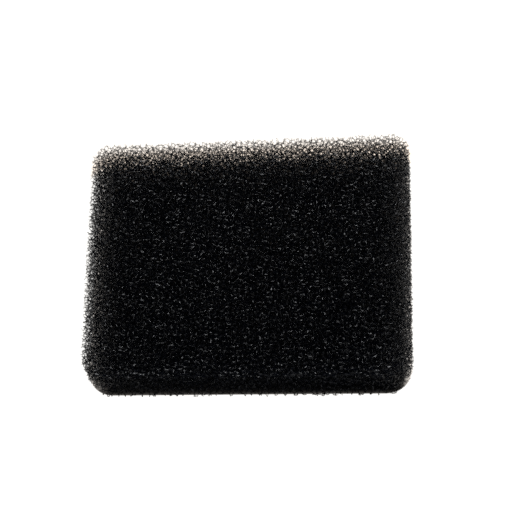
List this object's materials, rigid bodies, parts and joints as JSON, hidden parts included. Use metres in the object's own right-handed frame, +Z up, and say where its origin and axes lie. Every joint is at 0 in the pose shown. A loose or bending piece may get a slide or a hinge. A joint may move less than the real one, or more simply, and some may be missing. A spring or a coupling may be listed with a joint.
{
  "type": "aquarium filter sponge",
  "caption": "Flat rectangular block of black open-cell foam with rounded corners; fits a filter tray and strains water from one broad face to the other.",
  "frame": {"origin": "centre of the lower broad face, which the block rests on", "axes": "+X along the length, +Y across the width, +Z up through the thickness"},
  "size_m": [0.1, 0.08, 0.016],
  "materials": {
    "foam": "matte"
  },
  "bodies": {
    "root": {"foam_block": "foam"}
  },
  "joints": []
}
